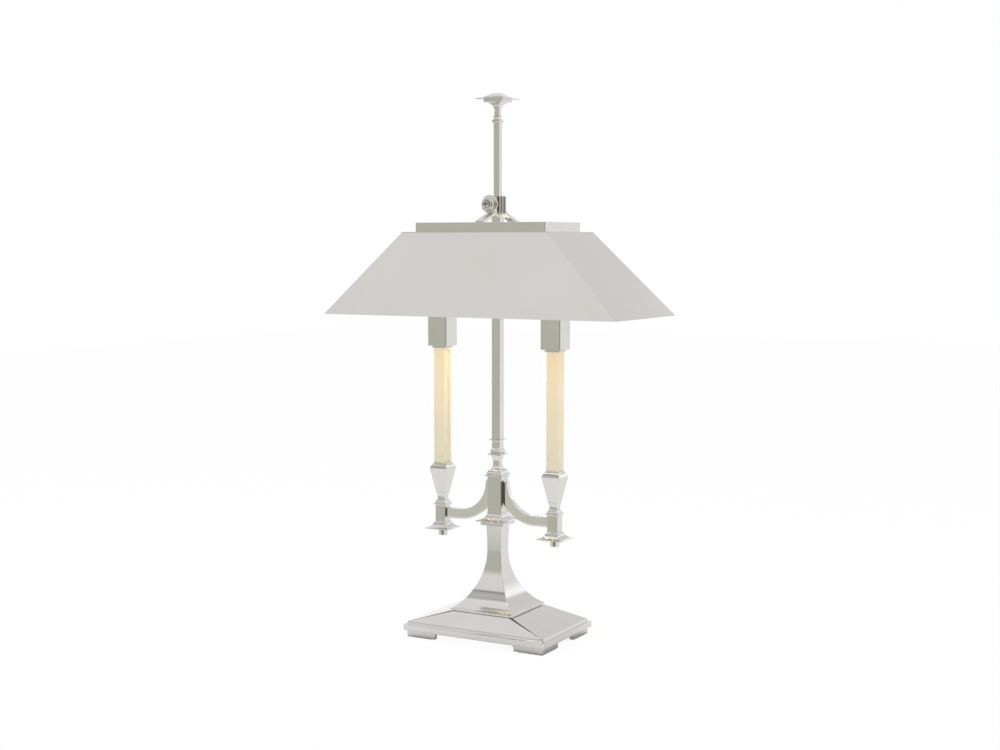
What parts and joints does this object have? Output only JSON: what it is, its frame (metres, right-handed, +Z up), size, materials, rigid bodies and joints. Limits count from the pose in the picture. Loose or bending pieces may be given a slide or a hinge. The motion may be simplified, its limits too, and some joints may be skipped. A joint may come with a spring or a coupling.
{
  "type": "table lamp",
  "caption": "Candelabra table lamp: stepped base, flared square column, curved candle arms, and a hipped rectangular shade that slides on a square rod and locks with a thumbscrew.",
  "frame": {"origin": "on the table, under the middle of the base", "axes": "+Z up, X along the shade's long side, -Y the front with the thumbscrew"},
  "size_m": [0.47, 0.2024, 0.7883],
  "materials": {
    "nickel": "polished nickel plate",
    "shade_sheet": "polished nickel plate on sheet",
    "candle_ivory": "smooth ivory",
    "holder_body": "moulded insulator",
    "bulb_glass": "clear to frosted glass",
    "cap_brass": "plain",
    "plain_steel": "zinc plated",
    "cast_weight": "raw casting",
    "felt": "felt",
    "inlet_rubber": "moulded",
    "lead_insulation": "sleeved wire"
  },
  "bodies": {
    "lamp": {"base_plinth": "nickel", "pedestal_column": "nickel", "hub_tray": "nickel", "arm_hub": "nickel", "hub_cap": "nickel", "stem_baluster": "nickel", "lower_stem": "nickel", "upper_rod": "nickel", "finial_collar": "nickel", "finial": "nickel", "arm_left": "nickel", "candle_block_left": "nickel", "drip_pan_left": "nickel", "closing_nut_left": "nickel", "vase_neck_left": "nickel", "vase_cup_left": "nickel", "socket_cover_left": "nickel", "candle_sleeve_left": "candle_ivory", "lamp_holder_left": "holder_body", "bulb_glass_left": "bulb_glass", "bulb_cap_left": "cap_brass", "candle_nipple_left": "plain_steel", "lead_left": "lead_insulation", "arm_right": "nickel", "candle_block_right": "nickel", "drip_pan_right": "nickel", "closing_nut_right": "nickel", "vase_neck_right": "nickel", "vase_cup_right": "nickel", "socket_cover_right": "nickel", "candle_sleeve_right": "candle_ivory", "lamp_holder_right": "holder_body", "bulb_glass_right": "bulb_glass", "bulb_cap_right": "cap_brass", "candle_nipple_right": "plain_steel", "lead_right": "lead_insulation", "base_cover": "plain_steel", "cover_screws": "plain_steel", "tie_tube": "plain_steel", "tie_nut": "plain_steel", "tie_washer": "plain_steel", "hub_nut": "plain_steel", "ballast_weight": "cast_weight", "foot_pads": "felt", "cord_bushing": "inlet_rubber"},
    "shade_carriage": {"shade_top_flange": "shade_sheet", "slide_block": "nickel", "strap_front": "nickel", "strap_back": "nickel", "shade_panel_front": "shade_sheet", "shade_panel_back": "shade_sheet", "shade_panel_left": "shade_sheet", "shade_panel_right": "shade_sheet", "gallery_rail_front": "nickel", "gallery_rail_back": "nickel", "gallery_rail_left": "nickel", "gallery_rail_right": "nickel"},
    "thumbscrew": {"thumbscrew": "nickel"}
  },
  "joints": [
    {"name": "shade_slide", "type": "slide", "parent": "lamp", "child": "shade_carriage", "axis": [0, 0, 1], "range_m": [0, 0.1]},
    {"name": "thumbscrew_turn", "type": "hinge", "parent": "shade_carriage", "child": "thumbscrew", "pos_m": [0, -0.03, 0.6306], "axis": [0, -1, 0], "range_deg": [0, 720]}
  ]
}
